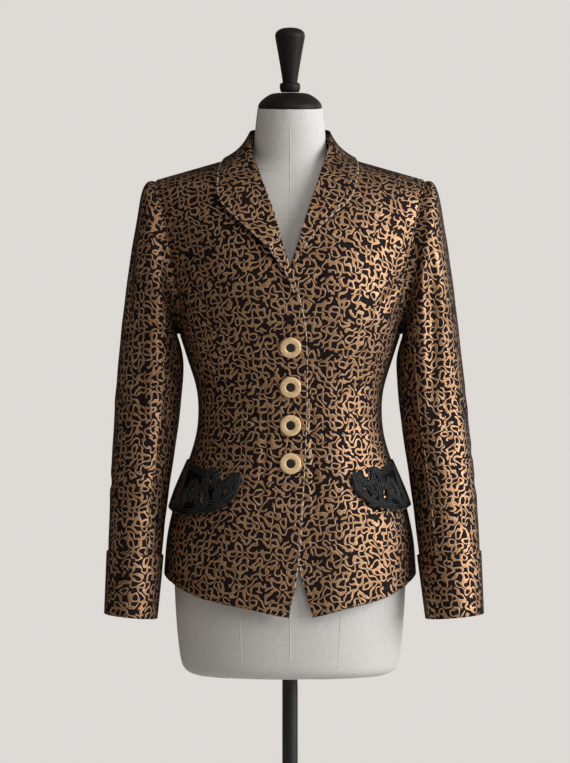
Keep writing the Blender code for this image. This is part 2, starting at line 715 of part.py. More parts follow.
def collar_grid(side):
    """One half of the fall's outer skin, a row from fold to edge at each step."""
    half = {n: np.concatenate([COLLAR_BACK[n], COLLAR_FRONT[side][n]]) for n in COLLAR_BACK}
    steps = np.arange(len(half["fold_x"]), dtype=float)
    tip = len(COLLAR_BACK["fold_x"]) + 1
    at = np.concatenate([np.linspace(0, tip, 13), np.linspace(tip, steps[-1], 8)[1:]])
    fold = np.stack([through(steps, half[f"fold_{n}"], at) for n in "xyz"], axis=-1)
    edge = np.empty_like(fold)
    for i, n in enumerate("xyz"):
        first = at <= tip
        edge[first, i] = through(steps[: tip + 1], half[f"edge_{n}"][: tip + 1], at[first])
        edge[~first, i] = through(steps[tip:], half[f"edge_{n}"][tip:], at[~first])
    rows = []
    for k in range(len(at)):
        row = []
        way = (edge[k] - fold[k]) / np.linalg.norm(edge[k] - fold[k])
        inwards = np.array((0, 0, -1)) + way[2] * way
        inwards *= np.interp(at[k], np.arange(6), COLLAR_HOLLOW) / np.linalg.norm(inwards)
        for share in np.linspace(0, 1, 6):
            x, y, z = fold[k] + (edge[k] - fold[k]) * share + inwards * math.sin(math.pi * share)
            on_front = eased((at[k] - 3.2) / 1.0)
            if on_front > 0:
                lift = 0.0030 + COLLAR_LIFT[side] * share
                lies = front_at(x, z) + tuck(side, np.array(x), np.array(z)) - SEAM - CLOTH - lift
                y = y + (min(y, float(lies)) - y) * on_front
            row.append((x, y, z))
        rows.append(row)
    return np.array(rows)


def lapel_grid(side):
    rows = LAPEL[side]
    steps = np.arange(len(rows["fold_x"]), dtype=float)
    at = np.linspace(0, steps[-1], 9)
    lapel = {n: through(steps, rows[n], at) for n in rows}
    grid = []
    for k in range(len(at)):
        row = []
        for share in np.linspace(0, 1, 4):
            x = lapel["fold_x"][k] + (lapel["edge_x"][k] - lapel["fold_x"][k]) * share
            z = lapel["fold_z"][k] + (lapel["edge_z"][k] - lapel["fold_z"][k]) * share
            fade = 1 - k / (len(at) - 1)
            lift = 0.0001 + (0.0028 + COLLAR_LIFT[side] * share) * fade
            y = front_at(x, z) + float(tuck(side, np.array(x), np.array(z))) - SEAM - CLOTH - lift
            row.append((x, y, z))
        grid.append(row)
    return np.array(grid)


def flap_angle(side, along):
    return FLAP_FRONT[side] + (FLAP_END - FLAP_FRONT[side]) * along


def on_body(angle, z, off):
    """A point that lies off the body by the distance given, level with it."""
    here = body_point(angle, z)
    way = body_point(angle + 0.5, z) - body_point(angle - 0.5, z)
    facing = np.stack([way[..., 1], -way[..., 0], 0 * way[..., 2]], axis=-1)
    facing = facing / np.linalg.norm(facing, axis=-1, keepdims=True)
    return here + facing * np.asarray(off)[..., None]


def flap_point(side, along, down, extra=0.0):
    """A point on a flap's outer skin, or further out from it."""
    top = through(FLAP["along"], FLAP["top"], along)
    bottom = through(FLAP["along"], FLAP["bottom"], along)
    bottom = bottom - FLAP_DROP[side] * eased(along / 0.05) * eased((1 - along) / 0.5)
    lift = FLAP_LIFT * eased(along / 0.45) * down
    z = top + (bottom - top) * down
    return on_body(flap_angle(side, along), z, CLOTH + 2 * SEAM + lift + extra)


def inside(point, ring):
    """Whether a point of the plane lies within a closed line."""
    x, y = point
    odd = False
    for (ax, ay), (bx, by) in zip(ring, ring[1:] + ring[:1]):
        if (ay > y) != (by > y) and x < ax + (bx - ax) * (y - ay) / (by - ay):
            odd = not odd
    return odd


LACE_WIDE = 0.190  # a flap's length, for laying the lace out flat
LACE_DEEP = 0.052
LACE_END = 0.58  # the lace covers this much of a flap


def lace_plan():
    """The lace laid out flat: its scalloped outline, its gaps, and its triangles."""
    steps = np.concatenate([np.linspace(0.012, 0.20, 13), np.linspace(0.20, LACE_END, 9)[1:]])
    top = through(LACE_TOP["along"], LACE_TOP["down"], steps)
    outline = [(LACE_WIDE * a, LACE_DEEP * d) for a, d in zip(steps, top)]
    for down in np.linspace(0.04, 0.96, 11)[1:-1]:
        scallop = 0.014 * math.sin(3 * math.pi * down)
        outline.append((LACE_WIDE * (LACE_END + scallop), LACE_DEEP * down))
    outline += [(LACE_WIDE * a, LACE_DEEP * 0.97) for a in steps[::-1]]
    gaps = []
    for along, down, long, wide, slant in zip(*LACE_GAPS.values()):
        tilt = math.radians(slant)
        ring = []
        for turn in np.linspace(0, 2 * math.pi, 12, endpoint=False):
            u = long * math.cos(turn)
            v = wide * math.sin(turn)
            x = LACE_WIDE * along + u * math.cos(tilt) - v * math.sin(tilt)
            ring.append((x, LACE_DEEP * down + u * math.sin(tilt) + v * math.cos(tilt)))
        gaps.append(ring)
    places = []
    edges = []
    for ring in [outline, *gaps]:
        first = len(places)
        places += ring
        edges += [(first + i, first + (i + 1) % len(ring)) for i in range(len(ring))]
    for x in np.arange(0.008, LACE_WIDE * LACE_END, 0.008):
        for y in np.arange(0.008, LACE_DEEP, 0.009):
            clear = min(math.dist((x, y), p) for p in places) > 0.0042
            if clear and inside((x, y), outline) and not any(inside((x, y), g) for g in gaps):
                places.append((x, y))
    made = delaunay_2d_cdt([Vector(p) for p in places], edges, [], 0, 1e-6)
    flat = [tuple(p) for p in made[0]]
    kept = []
    for face in made[2]:
        middle = tuple(sum(flat[i][k] for i in face) / len(face) for k in (0, 1))
        if inside(middle, outline) and not any(inside(middle, g) for g in gaps):
            kept.append(tuple(face))
    return flat, kept


def pierced(name, flat, faces, place, look):
    """A thin piece with gaps: a flat plan carried to its outer and its inner skin."""
    points = [place(p, LACE) for p in flat] + [place(p, 0.0) for p in flat]
    count = len(flat)
    uses = {}
    for face in faces:
        for a, b in zip(face, face[1:] + face[:1]):
            uses[a, b] = uses.get((b, a), 0)
    rims = [(a, b) for a, b in uses if (b, a) not in uses]
    whole = list(faces) + [tuple(i + count for i in f[::-1]) for f in faces]
    whole += [(a, b, b + count, a + count) for a, b in rims]
    return solid(name, points, whole, look)


def turned(name, profile, look, steps, loop=False):
    """A piece turned on a lathe."""
    mesh = bpy.data.meshes.new(name)
    count = len(profile)
    edges = [(i, i + 1) for i in range(count - 1)]
    if loop:
        edges.append((count - 1, 0))
    mesh.from_pydata([(r, 0, z) for r, z in profile], edges, [])
    piece = add(name, mesh, look)
    spin = piece.modifiers.new("Turned", "SCREW")
    spin.steps = steps
    spin.render_steps = steps
    spin.use_merge_vertices = True
    spin.merge_threshold = 0.00001
    return piece


# Fronts, side panels and backs
for side, word in SIDES:
    wall(f"front_{word}", front_grid(side), (JACQUARD, 0.5), side, ridge=True)
    wall(f"side_{word}", side_grid(), (JACQUARD, 0.5), side)
    wall(f"back_{word}", back_grid(), (JACQUARD, 0.5), side, out=-1, ridge=True)

# Sleeves: an upper and an under piece each, with a turned-back cuff round them
for side, word in SIDES:
    front_seam, back_seam = SLEEVE_SEAMS
    slit = SEAM / 2 / 0.30
    upper = np.linspace(back_seam - 1 + slit, front_seam - slit, 17)
    under = np.linspace(front_seam + slit, back_seam - slit, 11)
    wall(f"sleeve_upper_{word}", sleeve_grid(side, upper), (JACQUARD, 0.5), side)
    wall(f"sleeve_under_{word}", sleeve_grid(side, under), (JACQUARD, 0.5), side)
    tube = sleeve_grid(side, np.linspace(0, 1, 24, endpoint=False))[CUFF_START:]
    facing = normals(tube, True)
    cuff = tube + facing * (SEAM + CLOTH)
    cuff[-1, :, 2] -= 0.0010
    wall(f"cuff_{word}", cuff[1:], (JACQUARD, 0.5), side, closed=True)

# Collar: the stand and the fall run right round the neck
halves = {side: collar_grid(side) for side, _ in SIDES}
fall = np.concatenate([(halves[RIGHT] * (-1, 1, 1))[:0:-1], halves[LEFT]])
wall("collar_fall", fall.transpose(1, 0, 2)[::-1], (JACQUARD, 0.5))
steps = np.arange(5.0)
at = np.linspace(0, 4, 9)
low = np.stack([through(steps, COLLAR_STAND[f"low_{n}"], at) for n in "xyz"], axis=-1)
top = np.stack([through(steps, COLLAR_STAND[f"top_{n}"], at) for n in "xyz"], axis=-1)
stand = np.array([low + (top - low) * share for share in np.linspace(0, 1, 4)])
stand = np.concatenate([(stand * (-1, 1, 1))[:, :0:-1], stand], axis=1)
wall("collar_stand", stand, (JACQUARD, 0.5), thick=0.0018)

# Lapels
for side, word in SIDES:
    grid = lapel_grid(side)
    wall(f"lapel_{word}", grid.transpose(1, 0, 2)[::-1], (JACQUARD, 0.5), side, thick=0.0018)

# Hip flaps with their black lace
PLAN, PLAN_FACES = lace_plan()
for side, word in SIDES:
    along = np.concatenate([np.linspace(0, 0.06, 4), np.linspace(0.06, 0.2, 5)[1:], np.linspace(0.2, 1, 12)[1:]])
    grid = np.array([flap_point(side, along, down) for down in np.linspace(1, 0, 6)])
    wall(f"flap_{word}", grid, (JACQUARD, 0.5), side)

    def lace_place(flat, off):
        along = np.array(flat[0] / LACE_WIDE)
        down = np.array(flat[1] / LACE_DEEP)
        return flap_point(side, along, down, SEAM + off) * (side, 1, 1)

    pierced(f"lace_{word}", PLAN, PLAN_FACES, lace_place, (BLACK, 0.6))

# Buttons, each a ring with a dark centre
for number, height in enumerate(BUTTON_HEIGHTS, 1):
    here = np.array((BUTTON_X, float(body_front(BUTTON_X, height)), height))
    rise = float(body_front(BUTTON_X, height + 0.01) - body_front(BUTTON_X, height - 0.01))
    facing = Vector((0, -0.02, rise)).normalized()
    rim = np.array((-BUTTON_RADIUS, BUTTON_RADIUS))
    hollow = np.max(here[1] + rim * rise / 0.02 - body_front(BUTTON_X, height + rim))
    for name, profile, look, steps, loop in (
        (f"button_{number}", BUTTON_PROFILE, (GOLD, 0.5, 0.6), 20, True),
        (f"button_centre_{number}", EYE_PROFILE, (BLACK, 0.3), 16, False),
    ):
        piece = turned(name, profile, look, steps, loop)
        piece.location = Vector(here) + facing * (1.5 * SEAM + max(hollow, 0))
        piece.rotation_mode = "QUATERNION"
        piece.rotation_quaternion = facing.to_track_quat("Z", "Y")

# Dress form: a padded torso with a turned cap and knob, on a pole and a round base
rings = []
turns = np.linspace(0, 2 * math.pi, FORM_AROUND, endpoint=False)
turns = turns + 0.2 * np.sin(2 * turns)
ahead = np.abs(np.cos(turns))
aside = np.abs(np.sin(turns))
for z, half, front, back, full in zip(*FORM.values()):
    depth = np.where(np.cos(turns) > 0, front, back)
    reach = ((aside / half) ** full + (ahead / depth) ** full) ** (-1 / full)
    for row_z, wide, deep in zip(*SHOULDERS.values()):
        if row_z == z:
            wing = ((aside / wide) ** 2 + (ahead / deep) ** 2) ** -0.5
            reach = (reach**8 + wing**8) ** (1 / 8)
    x = reach * np.sin(turns)
    y = -reach * np.cos(turns)
    tilt = math.tan(NECK_LEAN) * eased((z - 1.360) / (NECK_TOP_Z - 1.360))
    rings.append(np.stack([x, y, z + tilt * y], axis=-1))
torso = np.concatenate(rings)
faces = []
for r in range(len(rings) - 1):
    for c in range(FORM_AROUND):
        a = r * FORM_AROUND + c
        b = r * FORM_AROUND + (c + 1) % FORM_AROUND
        faces.append((a, b, b + FORM_AROUND, a + FORM_AROUND))
faces.append(tuple(range(FORM_AROUND)))
faces.append(tuple(range(len(torso) - FORM_AROUND, len(torso))))
solid("form_torso", torso, faces, (LINEN, 0.9))

for name, profile, steps in (("form_cap", CAP_PROFILE, 32), ("form_knob", KNOB_PROFILE, 20)):
    piece = turned(name, profile, (BLACK, 0.35), steps)
    piece.location = (0, 0, NECK_TOP_Z)
    piece.rotation_euler = (NECK_LEAN, 0, 0)

turned("form_base", BASE_PROFILE, (BLACK, 0.4), 40)
pole_low = BASE_PROFILE[0][1] + 0.0003
turned(
    "form_pole",
    ((0.0, FORM_BOTTOM_Z - 0.0002), (POLE_RADIUS, FORM_BOTTOM_Z - 0.0002), (POLE_RADIUS, pole_low), (0.0, pole_low)),
    (BLACK, 0.35),
    24,
)
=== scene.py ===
import json
import math

import bmesh
import bpy
import numpy as np
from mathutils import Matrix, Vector
from mathutils.bvhtree import BVHTree

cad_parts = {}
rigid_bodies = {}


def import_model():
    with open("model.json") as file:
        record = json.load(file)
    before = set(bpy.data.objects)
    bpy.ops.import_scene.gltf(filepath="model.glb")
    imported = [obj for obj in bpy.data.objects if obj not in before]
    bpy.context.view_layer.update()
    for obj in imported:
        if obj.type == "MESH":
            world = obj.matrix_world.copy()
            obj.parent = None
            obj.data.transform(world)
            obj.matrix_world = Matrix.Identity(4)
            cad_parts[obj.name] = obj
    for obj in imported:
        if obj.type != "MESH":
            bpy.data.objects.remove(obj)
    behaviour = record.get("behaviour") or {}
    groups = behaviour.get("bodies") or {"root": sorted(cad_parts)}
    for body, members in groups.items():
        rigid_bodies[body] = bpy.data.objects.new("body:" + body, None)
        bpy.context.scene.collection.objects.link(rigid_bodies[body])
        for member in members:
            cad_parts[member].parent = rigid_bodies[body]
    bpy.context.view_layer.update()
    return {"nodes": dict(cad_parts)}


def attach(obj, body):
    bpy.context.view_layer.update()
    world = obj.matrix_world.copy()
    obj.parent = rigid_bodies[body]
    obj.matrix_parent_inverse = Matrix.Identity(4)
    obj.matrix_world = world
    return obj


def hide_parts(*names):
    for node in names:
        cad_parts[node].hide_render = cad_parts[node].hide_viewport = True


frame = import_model()


# The dress form's torso: a moulded shell with a thin layer of padding, under a tight
# cover of off-white linen that is cut in upright panels and sewn edge to edge.
LINEN_PALE = (0.74, 0.73, 0.705)
LINEN_SHADED = (0.64, 0.625, 0.595)
SEAM_CORD = 0.0007  # half the width of a sewn seam in the linen
SEAM_SUNK = 0.0003
SEAM_TURNS = (0, 33, 74, 112, 150, 180, -150, -112, -74, -33)  # degrees round from the front
SEAM_LOW = 0.628
SEAM_TOP = 1.400  # only the seams in the middle of the front and the back go up as far
SHOULDER_TOP = 1.330
NECK_SEAM = 1.317  # the height of the seam round the neck, at the front
NECK_SEAM_BACK = 0.034  # how much higher it is at the back
NECK_SEAM_SIDE = 0.006
FORM_MIDDLE = (0.0, 0.010)


def quads_of(node):
    """The faces of a solid, welded and paired to quads, as a new bmesh."""
    mesh = frame["nodes"][node].data
    shape = bmesh.new()
    points = [shape.verts.new(v.co) for v in mesh.vertices]
    for face in mesh.polygons:
        shape.faces.new([points[i] for i in face.vertices])
    bmesh.ops.remove_doubles(shape, verts=shape.verts, dist=0.00002)
    bmesh.ops.join_triangles(
        shape, faces=shape.faces, angle_face_threshold=math.pi, angle_shape_threshold=math.pi
    )
    return shape


def new_piece(name, shape):
    """An object of its own with the faces of a bmesh, which is used up."""
    mesh = bpy.data.meshes.new(name)
    shape.to_mesh(mesh)
    shape.free()
    mesh.shade_smooth()
    piece = bpy.data.objects.new(name, mesh)
    bpy.context.scene.collection.objects.link(piece)
    return piece


def copy_of(node, name, rim=1.0, bend=35):
    """A copy of a solid as a piece of its own, with its edges held by creases."""
    shape = quads_of(node)
    crease = shape.edges.layers.float.new("crease_edge")
    for edge in shape.edges:
        if edge.calc_face_angle(0.0) > math.radians(bend):
            edge[crease] = rim
            edge.seam = True
    return new_piece(name, shape)


def rounded(piece, levels, sharp=50):
    """The piece with its faces rounded off between its creases."""
    step = piece.modifiers.new("Rounding", "SUBSURF")
    step.levels = levels
    step.render_levels = levels
    shown = piece.evaluated_get(bpy.context.evaluated_depsgraph_get())
    mesh = bpy.data.meshes.new_from_object(shown)
    piece.modifiers.clear()
    piece.data = mesh
    mesh.shade_smooth()
    mesh.set_sharp_from_angle(angle=math.radians(sharp))
    return piece


def belongs(piece, material, slot, *nodes):
    """Gives a piece its finish and its place on the part, and hides the solids that it stands for."""
    piece.data.materials.append(material)
    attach(piece, "root")
    if nodes:
        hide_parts(*nodes)
    return piece


def put(tree, kind, sockets=None, **settings):
    """A shader node: its settings, and a value or a link for each socket named."""
    made = tree.nodes.new("ShaderNode" + kind)
    for name, value in settings.items():
        setattr(made, name, value)
    for socket, value in (sockets or {}).items():
        if isinstance(value, bpy.types.NodeSocket):
            tree.links.new(value, made.inputs[socket])
        else:
            made.inputs[socket].default_value = value
    return made


def calc(tree, operation, *terms):
    return put(tree, "Math", dict(enumerate(terms)), operation=operation).outputs[0]


def eased(tree, value, low, high):
    """0 to 1 as the value goes from low to high, slow at both ends."""
    sockets = {"Value": value, "From Min": low, "From Max": high}
    return put(tree, "MapRange", sockets, interpolation_type="SMOOTHSTEP").outputs[0]


def tint(tree, share, first, second):
    """From the first colour to the second."""
    sockets = {0: share}
    for socket, colour in ((6, first), (7, second)):
        sockets[socket] = (*colour, 1) if isinstance(colour, tuple) else colour
    return put(tree, "Mix", sockets, data_type="RGBA").outputs[2]


def finish(name, colour, roughness, **fixed):
    """A new material with its shader; what is fixed is set on the shader itself."""
    made = bpy.data.materials.new(name)
    made.use_nodes = True
    shader = made.node_tree.nodes["Principled BSDF"]
    shader.inputs["Base Color"].default_value = (*colour, 1)
    shader.inputs["Roughness"].default_value = roughness
    for socket, value in fixed.items():
        shader.inputs[socket.replace("_", " ").title().replace("Ior", "IOR")].default_value = value
    return made, made.node_tree, shader


def raise_by(tree, shader, height, distance, strength=1.0):
    """Fine relief on a shader, with its height in the unit that distance gives."""
    sockets = {"Height": height, "Distance": distance, "Strength": strength}
    tree.links.new(put(tree, "Bump", sockets).outputs[0], shader.inputs["Normal"])


def new_group(name, takes, gives):
    """A shader node group, with its input and output sockets."""
    made = bpy.data.node_groups.new(name, "ShaderNodeTree")
    for way, sockets in (("INPUT", takes), ("OUTPUT", gives)):
        for socket, kind in sockets.items():
            made.interface.new_socket(socket, in_out=way, socket_type="NodeSocket" + kind)
    return made, made.nodes.new("NodeGroupInput").outputs, made.nodes.new("NodeGroupOutput").inputs


streaks, takes, gives = new_group(
    "Streaks", {"Place": "Vector", "Fineness": "Vector"}, {"Streaks": "Float"}
)
sockets = {0: takes["Place"], 1: takes["Fineness"]}
drawn = put(streaks, "VectorMath", sockets, operation="MULTIPLY").outputs[0]
uneven = put(streaks, "TexNoise", {"Vector": drawn, "Scale": 1.0, "Detail": 2.0}).outputs[0]
streaks.links.new(uneven, gives["Streaks"])


def streaked(tree, place, across, along):
    """Uneven threads or pores, with a size across and along them."""
    sockets = {"Place": place, "Fineness": (1 / across, 1 / across, 1 / along)}
    return put(tree, "Group", sockets, node_tree=streaks).outputs[0]


def smooth_line(points, step):
    """A soft curve through the points given, at even steps."""
    points = np.array(points, float)
    ends = np.vstack((2 * points[0] - points[1], points, 2 * points[-1] - points[-2]))
    share = np.linspace(0, 1, 12, endpoint=False)[:, None]
    line = []
    for a, b, c, d in zip(ends, ends[1:], ends[2:], ends[3:]):
        bent = (2 * a - 5 * b + 4 * c - d) * share**2 + (3 * b - a - 3 * c + d) * share**3
        line.append(b + (c - a) * share / 2 + bent / 2)
    line = np.vstack((*line, points[-1:]))
    way = np.append(0, np.cumsum(np.linalg.norm(np.diff(line, axis=0), axis=1)))
    at = np.linspace(0, way[-1], max(3, int(way[-1] / step)))
    return np.stack([np.interp(at, way, line[:, i]) for i in range(3)], axis=-1)


def tubes(name, lines, radius, sides=8, taper=0.35):
    """Thin cords along lines, as one piece, with cloth coordinates round and along them."""
    shape = bmesh.new()
    flat = shape.loops.layers.uv.new("Cloth")
    for number, line in enumerate(lines):
        along = np.gradient(line, axis=0)
        along /= np.linalg.norm(along, axis=1, keepdims=True)
        way = np.append(0, np.cumsum(np.linalg.norm(np.diff(line, axis=0), axis=1)))
        slant = (0.31, 0.22, 0.93)  # no cord starts out along this line
        side = np.cross(along[0], slant)
        rings = []
        for place, ahead, share in zip(line, along, way / way[-1]):
            side = side - ahead * side.dot(ahead)
            side /= np.linalg.norm(side)
            other = np.cross(ahead, side)
            near_end = max(0, abs(2 * share - 1) * 12 - 11)
            thin = radius * (1 - (1 - taper) * near_end)
            ring = []
            for turn in np.linspace(0, 2 * math.pi, sides, endpoint=False):
                out = math.cos(turn) * side + math.sin(turn) * other
                ring.append(shape.verts.new(place + thin * out))
            rings.append(ring)
        facet = radius * 0.8
        start = number * 0.41
        for n in range(len(rings) - 1):
            for i in range(sides):
                after = (i + 1) % sides
                ring, ahead = rings[n], rings[n + 1]
                face = shape.faces.new((ring[i], ring[after], ahead[after], ahead[i]))
                for corner, u, v in zip(face.loops, (i, i + 1, i + 1, i), (n, n, n + 1, n + 1)):
                    corner[flat].uv = (u * facet + start, way[v])
        shape.faces.new(rings[0][::-1])
        shape.faces.new(rings[-1])
    return new_piece(name, shape)


def surface_of(*pieces):
    """The faces of pieces or solids, to cast lines on."""
    points, faces = [], []
    for piece in pieces:
        first = len(points)
        points += [v.co.copy() for v in piece.data.vertices]
        faces += [[first + i for i in face.vertices] for face in piece.data.polygons]
    return BVHTree.FromPolygons(points, faces)


linen, tree, shader = finish("Linen", LINEN_PALE, 0.92, specular_ior_level=0.12)
place = put(tree, "TexCoord").outputs["Object"]
warp_threads = streaked(tree, place, 0.0009, 0.022)
sockets = {"Vector": place, "Angle": math.pi / 2}
sideways = put(tree, "VectorRotate", sockets, rotation_type="Y_AXIS").outputs[0]
weft_threads = streaked(tree, sideways, 0.0009, 0.020)
threads = calc(tree, "ADD", warp_threads, weft_threads)
slubs = eased(tree, threads, 0.7, 1.2)
tree.links.new(tint(tree, slubs, LINEN_SHADED, LINEN_PALE), shader.inputs["Base Color"])
raise_by(tree, shader, threads, 0.0003, 0.35)

torso = rounded(copy_of("form_torso", "linen_torso", 0.85), 2)
belongs(torso, linen, "linen", "form_torso")

torso_skin = surface_of(torso)


def on_torso(turn, height):
    """The place on the linen at a turn from the front and a height, a little sunk in."""
    out = Vector((math.sin(turn), -math.cos(turn), 0))
    found = torso_skin.ray_cast(Vector((*FORM_MIDDLE, height)) + out * 0.5, -out)[0]
    return found and found - out * SEAM_SUNK


seam_lines = []
for degrees in SEAM_TURNS:
    line = []
    for height in np.linspace(SEAM_LOW, SEAM_TOP, 60):
        found = on_torso(math.radians(degrees), height)
        if found and (height < SHOULDER_TOP or degrees in (0, 180)):
            line.append(found)
    seam_lines.append(smooth_line(line, 0.006))
neck_line = []
for degrees in range(0, 361, 12):
    turn = math.radians(degrees)
    rise = NECK_SEAM_BACK * (1 - math.cos(turn)) / 2 + NECK_SEAM_SIDE * abs(math.sin(turn))
    neck_line.append(on_torso(turn, NECK_SEAM + rise))
seam_lines.append(smooth_line(neck_line, 0.004))
seams = tubes("linen_seams", seam_lines, SEAM_CORD, 6)
belongs(seams, linen, "linen")


# Cap and knob: turned from close-grained wood, lacquered black and screwed to the
# top of the neck.
LACQUER_DARK = (0.006, 0.005, 0.005)
LACQUER_PALE = (0.020, 0.017, 0.014)

black_wood, tree, shader = finish("Black lacquered wood", LACQUER_DARK, 0.5, specular_ior_level=0.22)
place = put(tree, "TexCoord").outputs["Object"]
pores = streaked(tree, place, 0.0012, 0.020)
tree.links.new(tint(tree, pores, LACQUER_DARK, LACQUER_PALE), shader.inputs["Base Color"])
tree.links.new(calc(tree, "MULTIPLY_ADD", pores, 0.16, 0.44), shader.inputs["Roughness"])
raise_by(tree, shader, pores, 0.0002, 0.3)

for node, name in (("form_cap", "turned_cap"), ("form_knob", "turned_knob")):
    piece = rounded(copy_of(node, name, 0.6, 42), 2)
    belongs(piece, black_wood, "black_wood", node)


# Pole and base: a steel tube that stands in a heavy steel disc, and holds the torso on
# its upper end. Both are powder coated black.
COATING_DARK = (0.009, 0.009, 0.009)
COATING_PALE = (0.018, 0.018, 0.017)

grain, takes, gives = new_group(
    "Fine grain", {"Place": "Vector", "Scale": "Float", "Detail": "Float"}, {"Grain": "Float"}
)
sockets = {"Vector": takes["Place"], "Scale": takes["Scale"], "Detail": takes["Detail"]}
grain.links.new(put(grain, "TexNoise", sockets).outputs[0], gives["Grain"])


def grained(tree, place, scale, detail):
    """The fine grain of a coated, cast or twisted face."""
    sockets = {"Place": place, "Scale": scale, "Detail": detail}
    return put(tree, "Group", sockets, node_tree=grain).outputs[0]


black_steel, tree, shader = finish("Black powder coat", COATING_DARK, 0.45)
place = put(tree, "TexCoord").outputs["Object"]
grit = grained(tree, place, 900.0, 2.0)
tree.links.new(calc(tree, "MULTIPLY_ADD", grit, 0.2, 0.32), shader.inputs["Roughness"])
tree.links.new(tint(tree, grit, COATING_DARK, COATING_PALE), shader.inputs["Base Color"])
raise_by(tree, shader, grit, 0.0002, 0.5)

for node, name in (("form_pole", "steel_pole"), ("form_base", "weighted_base")):
    piece = rounded(copy_of(node, name, 0.9, 30), 2)
    belongs(piece, black_steel, "black_metal", node)


# The body of the blazer: two fronts, two sides and two backs of jacquard, with bronze
# lurex ribbons that meander over a black satin ground. The panels are sewn edge to
# edge, and the front and hem edges are turned in and pressed to a fine roll.
RIBBON_TILE = 0.0094  # one turn of a ribbon
RIBBON_THIN = 0.95  # half widths, in millimetres
RIBBON_THICK = 2.3
RIBBON_BREAKS = 0.07  # the share of the turns that are left out, where ribbons end
RIBBON_SWELLS = 120.0  # to a metre, between thin and thick
SWAY_WAVE = 0.0145  # the turns are swayed out of line: how long a sway is, and how far it goes
SWAY_REACH = 0.0088
WORN_PATCHES = 24.0  # to a metre
RIB_PITCH = 0.0011
WARP_PITCH = 0.0007
RIBBON_SUNK_AND_SIDE_SHADE = 0.82  # the satin stands higher, and hides the ribbons from the side; this fade to the dark satin is also painted shade on the sides turned away from view
BRONZE_DEEP = (0.390, 0.205, 0.095)
BRONZE_PALE = (0.640, 0.405, 0.250)
GROUND = (0.0160, 0.0108, 0.0118)
GROUND_EDGE = (0.0018, 0.0014, 0.0014)
BACK_FLOAT = (0.060, 0.036, 0.022)
BACK_EDGE = (0.020, 0.014, 0.010)
BODY_MIDDLE = (0.0, 0.010)
BODY_RADIUS = 0.150
EDGE_ROLL = 0.0013  # half the width of a pressed edge's roll
EDGE_PROUD = 0.0004
# the pale line along the pressed edges: partly ribbon colour, partly a painted highlight
EDGE_PALE_AND_HIGHLIGHT = (0.560, 0.390, 0.260)
EDGE_BREAK = 0.0065  # the ribbons turn over the edge, so that its pale line, ribbon colour with a painted highlight, is broken
LAPEL_BREAK = 1.185  # the height at which the front edges roll back
CUT_APART = (0.37, 0.53)  # from the place of one panel's cut on the cloth to the next one's
RIDGE_SHARE = 0.3  # of a fold's depth, in the low ridges beside it
RIDGE_AWAY = 1.9  # from the fold's middle, in its half widths
RIDGE_WIDE = 0.8
UNEVEN = 0.0003  # the depth of the slight waves that go all over the cloth
WAVE_TURNS = (7.3, 17.0)
WAVE_RISES = (41.0, 67.0)

# Soft folds of the body: degrees round from the front and height, of both ends, then
# half width and depth.
BODY_FOLDS = (
    (-19, 0.835, -17, 1.005, 0.0060, 0.0016),
    (17, 0.850, 16, 1.000, 0.0060, 0.0014),
    (-48, 1.015, -20, 0.975, 0.0090, 0.0022),
    (-60, 0.975, -30, 0.950, 0.0080, 0.0016),
    (24, 0.990, 55, 1.030, 0.0090, 0.0020),
    (36, 0.955, 62, 0.985, 0.0070, 0.0015),
    (46, 1.115, 68, 1.180, 0.0085, 0.0024),
    (-66, 1.190, -44, 1.120, 0.0080, 0.0026),
    (-58, 1.205, -42, 1.165, 0.0065, 0.0015),
    (98, 0.975, 150, 1.000, 0.0095, 0.0026),
    (112, 1.010, 160, 1.032, 0.0080, 0.0018),
    (-150, 1.004, -105, 0.982, 0.0090, 0.0024),
    (-166, 1.035, -122, 1.022, 0.0075, 0.0014),
    (128, 1.130, 142, 1.235, 0.0100, 0.0024),
    (-140, 1.240, -124, 1.120, 0.0095, 0.0028),
    (160, 0.760, 154, 0.905, 0.0120, 0.0022),
    (-150, 0.750, -157, 0.880, 0.0110, 0.0026),
    (-112, 0.780, -104, 0.880, 0.0100, 0.0020),
    (106, 0.770, 100, 0.860, 0.0110, 0.0022),
)


def swayed(tree, place, wave, reach):
    """The place moved about smoothly, by noise of the wave and reach given."""
    sockets = {"Vector": place, "Scale": 1 / wave, "Detail": 0.0}
    sway = put(tree, "TexNoise", sockets, noise_dimensions="2D").outputs["Color"]
    middle = put(tree, "VectorMath", {0: sway, 1: (0.5, 0.5, 0.5)}, operation="SUBTRACT").outputs[0]
    sockets = {0: middle, 1: (reach, reach, 0), 2: place}
    return put(tree, "VectorMath", sockets, operation="MULTIPLY_ADD").outputs[0]


meander, takes, gives = new_group(
    "Meander",
    {"Cloth": "Vector"},
    {"Figure": "Float", "Heart": "Float", "Outline": "Float", "Worn": "Float", "Height": "Float"},
)
drawn = swayed(meander, takes["Cloth"], SWAY_WAVE, SWAY_REACH)
finer = (1 / RIBBON_TILE, 1 / RIBBON_TILE, 0)
tiles = put(meander, "VectorMath", {0: drawn, 1: finer}, operation="MULTIPLY").outputs[0]
tile = put(meander, "VectorMath", {0: tiles}, operation="FLOOR").outputs[0]
within = put(meander, "VectorMath", {0: tiles}, operation="FRACTION").outputs[0]
chance = put(meander, "TexWhiteNoise", {"Vector": tile}, noise_dimensions="2D").outputs
turned_over = calc(meander, "GREATER_THAN", chance["Value"], 0.5)
chances = put(meander, "SeparateColor", {0: chance["Color"]}).outputs
split = put(meander, "SeparateXYZ", {0: within}).outputs
flipped = calc(meander, "ABSOLUTE", calc(meander, "SUBTRACT", split[0], turned_over))
corner = put(meander, "CombineXYZ", {0: flipped, 1: split[1]}).outputs[0]
arcs = []
